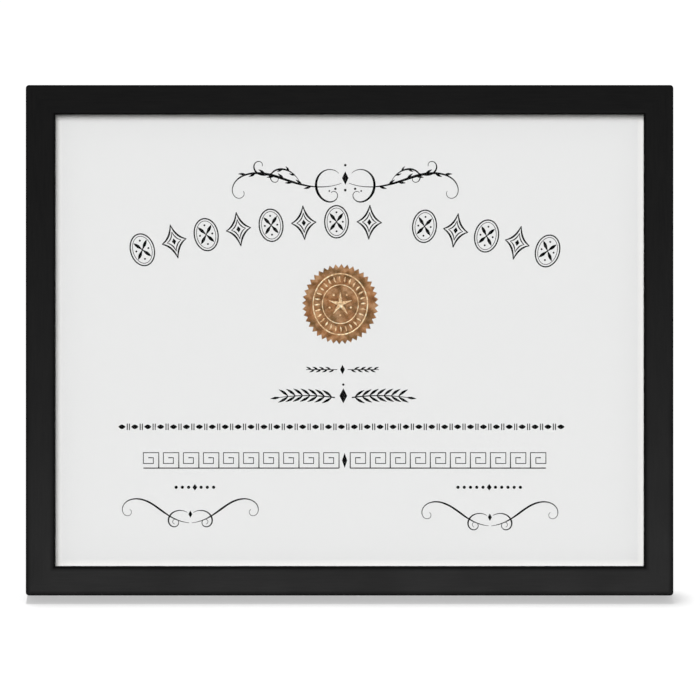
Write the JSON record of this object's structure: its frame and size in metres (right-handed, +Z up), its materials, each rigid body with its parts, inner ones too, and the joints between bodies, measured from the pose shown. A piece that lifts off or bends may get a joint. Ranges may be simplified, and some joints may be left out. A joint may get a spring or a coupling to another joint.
{
  "type": "certificate frame",
  "caption": "Document frame: mitred black rails round glass and a certificate, a board held by turn buttons, sawtooth hangers and a hinged diagonal easel strut.",
  "frame": {"origin": "middle of the bounding box on the surface that the frame stands on, with the strut open", "axes": "+X to the viewer's right along the frame's width, +Y away from the viewer, +Z up"},
  "size_m": [0.3, 0.0989, 0.2321],
  "materials": {
    "black_lacquered_wood": "satin black lacquer over close-grained wood",
    "clear_glass": "clear float glass",
    "certificate_paper": "smooth pale grey-white card",
    "bronze_gold_foil": "embossed bronze-gold foil",
    "corrugated_card": "brown kraft board",
    "raw_fibreboard": "raw medium-density fibreboard",
    "black_flock": "short black flock pile",
    "strut_flock": "fibreboard wrapped in black flock",
    "nickelled_steel": "nickel-plated pressed steel",
    "zinc_plated_steel": "bright zinc plate",
    "bright_steel": "plain drawn steel"
  },
  "bodies": {
    "frame": {"top_rail": "black_lacquered_wood", "bottom_rail": "black_lacquered_wood", "left_rail": "black_lacquered_wood", "right_rail": "black_lacquered_wood", "corner_v_nails": "bright_steel", "glass_pane": "clear_glass", "certificate_sheet": "certificate_paper", "foil_seal": "bronze_gold_foil", "filler_pad": "corrugated_card", "backing_board": "raw_fibreboard", "backing_flock": "black_flock", "hinge_fixed_leaf": "nickelled_steel", "hinge_pin": "nickelled_steel", "board_rivets": "nickelled_steel", "turn_button_screws": "zinc_plated_steel", "hanger_landscape": "zinc_plated_steel", "hanger_portrait": "zinc_plated_steel", "hanger_brads": "bright_steel"},
    "strut": {"easel_strut": "strut_flock", "hinge_moving_leaf": "nickelled_steel", "strut_rivets": "nickelled_steel"},
    "button_top_left": {"turn_button_top_left": "nickelled_steel"},
    "button_top_right": {"turn_button_top_right": "nickelled_steel"},
    "button_bottom_left": {"turn_button_bottom_left": "nickelled_steel"},
    "button_bottom_right": {"turn_button_bottom_right": "nickelled_steel"},
    "button_side_left": {"turn_button_side_left": "nickelled_steel"},
    "button_side_right": {"turn_button_side_right": "nickelled_steel"}
  },
  "joints": [
    {"name": "easel_strut_hinge", "type": "hinge", "parent": "frame", "child": "strut", "pos_m": [-0.03175, -0.00257, 0.1136], "axis": [-0.7071, 0.183, 0.683], "range_deg": [0, 30]},
    {"name": "button_top_left_swivel", "type": "hinge", "parent": "frame", "child": "button_top_left", "pos_m": [-0.09001, 0.02506, 0.22425], "axis": [0, 0.9659, -0.2588], "continuous": true},
    {"name": "button_top_right_swivel", "type": "hinge", "parent": "frame", "child": "button_top_right", "pos_m": [0.09001, 0.02506, 0.22425], "axis": [0, 0.9659, -0.2588], "continuous": true},
    {"name": "button_bottom_left_swivel", "type": "hinge", "parent": "frame", "child": "button_bottom_left", "pos_m": [-0.09001, -0.03397, 0.00397], "axis": [0, 0.9659, -0.2588], "continuous": true},
    {"name": "button_bottom_right_swivel", "type": "hinge", "parent": "frame", "child": "button_bottom_right", "pos_m": [0.09001, -0.03397, 0.00397], "axis": [0, 0.9659, -0.2588], "continuous": true},
    {"name": "button_side_left_swivel", "type": "hinge", "parent": "frame", "child": "button_side_left", "pos_m": [-0.14577, 0.00901, 0.16437], "axis": [0, 0.9659, -0.2588], "continuous": true},
    {"name": "button_side_right_swivel", "type": "hinge", "parent": "frame", "child": "button_side_right", "pos_m": [0.14577, 0.00901, 0.16437], "axis": [0, 0.9659, -0.2588], "continuous": true}
  ]
}
